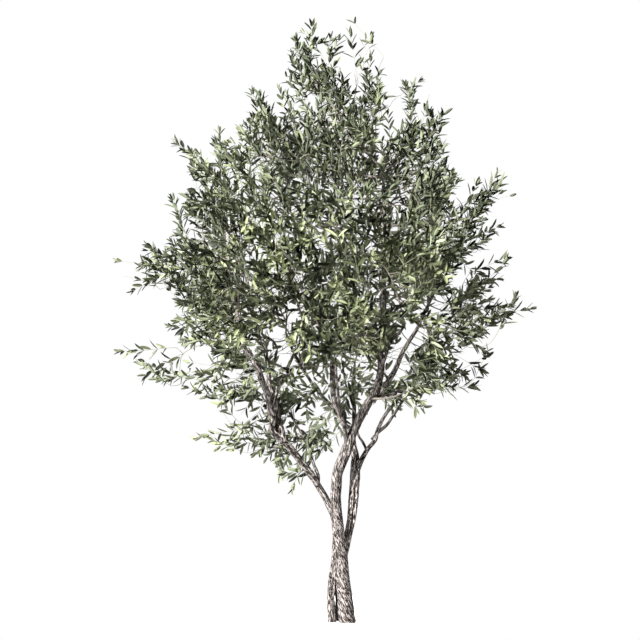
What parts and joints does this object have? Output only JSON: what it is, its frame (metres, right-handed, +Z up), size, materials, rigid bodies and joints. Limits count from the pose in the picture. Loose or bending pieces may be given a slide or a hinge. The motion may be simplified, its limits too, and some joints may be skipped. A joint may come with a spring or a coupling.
{
  "type": "olive tree",
  "caption": "Evergreen tree with twined grey-brown stems that fork into slender boughs, under an upright, uneven crown of narrow grey-green leaves; rooted at ground level.",
  "frame": {"origin": "middle of the front stem's flat cut, at ground level", "axes": "+Z up along the tree's height, +X to the right and +Y to the back as the tree is seen from its front"},
  "size_m": [2.73, 2.3631, 4],
  "materials": {
    "bark": "rough fissured bark, warm pale grey-brown",
    "foliage": "leathery leaves, grey-green above and silvery below"
  },
  "bodies": {
    "root": {"bough_back": "bark", "bough_back_left": "bark", "bough_crossing": "bark", "bough_front": "bark", "bough_left_fork": "bark", "bough_left_inner": "bark", "bough_left_low": "bark", "bough_right": "bark", "bough_right_fork": "bark", "bough_right_low": "bark", "bough_side": "bark", "bough_slender": "bark", "foliage_bottom_left": "foliage", "foliage_bottom_middle": "foliage", "foliage_bottom_spray": "foliage", "foliage_crown_front": "foliage", "foliage_crown_rear": "foliage", "foliage_far_left": "foliage", "foliage_far_right": "foliage", "foliage_heart": "foliage", "foliage_inner_low": "foliage", "foliage_lap": "foliage", "foliage_left_flank": "foliage", "foliage_left_inner": "foliage", "foliage_left_shoulder": "foliage", "foliage_left_skirt": "foliage", "foliage_left_spray": "foliage", "foliage_low_front": "foliage", "foliage_low_left_front": "foliage", "foliage_low_left_rear": "foliage", "foliage_low_rear": "foliage", "foliage_low_right_front": "foliage", "foliage_low_right_rear": "foliage", "foliage_middle_front": "foliage", "foliage_middle_left_front": "foliage", "foliage_middle_left_rear": "foliage", "foliage_middle_rear": "foliage", "foliage_middle_right_front": "foliage", "foliage_middle_right_rear": "foliage", "foliage_right_crest": "foliage", "foliage_right_flank": "foliage", "foliage_right_inner": "foliage", "foliage_right_shoulder": "foliage", "foliage_right_skirt": "foliage", "foliage_right_upper": "foliage", "foliage_top_left": "foliage", "foliage_top_right": "foliage", "foliage_top_spire": "foliage", "foliage_upper_left": "foliage", "foliage_upper_left_front": "foliage", "foliage_upper_left_rear": "foliage", "foliage_upper_right_front": "foliage", "foliage_upper_right_rear": "foliage", "leader": "bark", "stem_back": "bark", "stem_front": "bark", "stem_left": "bark"}
  },
  "joints": []
}
